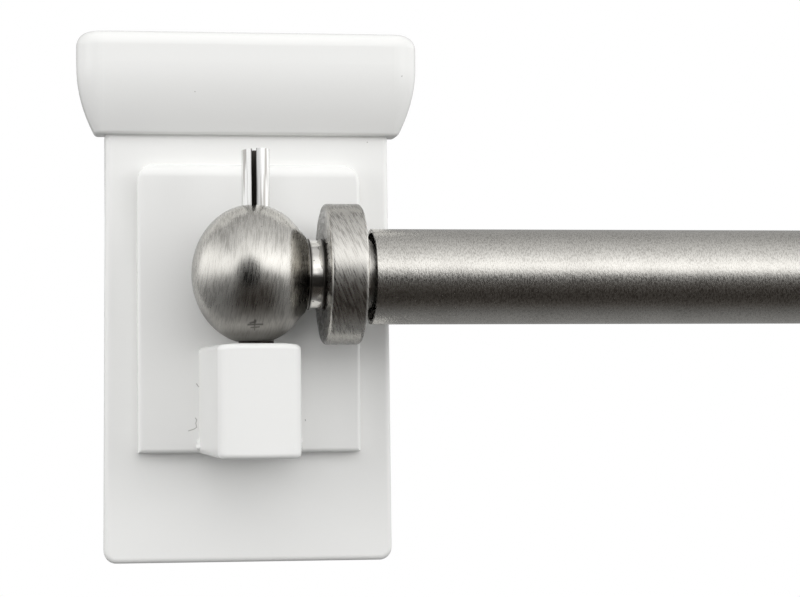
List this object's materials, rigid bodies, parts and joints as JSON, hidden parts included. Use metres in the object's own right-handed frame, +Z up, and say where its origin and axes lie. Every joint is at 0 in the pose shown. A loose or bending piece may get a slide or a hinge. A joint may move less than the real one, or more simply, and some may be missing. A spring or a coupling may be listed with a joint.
{
  "type": "extendable curtain rod",
  "caption": "Telescoping metal curtain rod whose ball ends turn on upright pins in white hook-over brackets.",
  "frame": {"origin": "on the flat back face of the left bracket, in line with its pin and at the height of the ball's centre", "axes": "+X along the rod towards the right bracket, +Y back into the board behind, +Z up along the pins"},
  "size_m": [0.5764, 0.055, 0.0921],
  "materials": {
    "white_moulding": "gloss white",
    "brushed_nickel": "brushed nickel plate",
    "polished_nickel": "polished nickel",
    "bright_pin": "bright zinc plate",
    "zinc_stud": "zinc plate",
    "plug_nylon": "matt black"
  },
  "bodies": {
    "left_bracket": {"left_hook_bracket": "white_moulding", "left_socket_block": "white_moulding", "left_pivot_pin": "bright_pin"},
    "outer_rod": {"left_ball": "brushed_nickel", "left_neck_sleeve": "polished_nickel", "left_collar": "brushed_nickel", "left_stud": "zinc_stud", "outer_tube_plug": "plug_nylon", "outer_tube": "brushed_nickel"},
    "inner_rod": {"inner_tube": "brushed_nickel", "glide": "plug_nylon", "inner_tube_plug": "plug_nylon", "right_stud": "zinc_stud", "right_collar": "brushed_nickel", "right_neck_sleeve": "polished_nickel", "right_ball": "brushed_nickel"},
    "right_bracket": {"right_hook_bracket": "white_moulding", "right_socket_block": "white_moulding", "right_pivot_pin": "bright_pin"}
  },
  "joints": [
    {"name": "left_swing", "type": "hinge", "parent": "left_bracket", "child": "outer_rod", "pos_m": [0, -0.0192, 0], "axis": [0, 0, 1], "range_deg": [-181, 1]},
    {"name": "rod_extension", "type": "slide", "parent": "outer_rod", "child": "inner_rod", "axis": [1, 0, 0], "range_m": [-0.06, 0.194]},
    {"name": "right_swing", "type": "hinge", "parent": "inner_rod", "child": "right_bracket", "pos_m": [0.517, -0.0192, 0], "axis": [0, 0, 1], "range_deg": [-181, 1]}
  ]
}
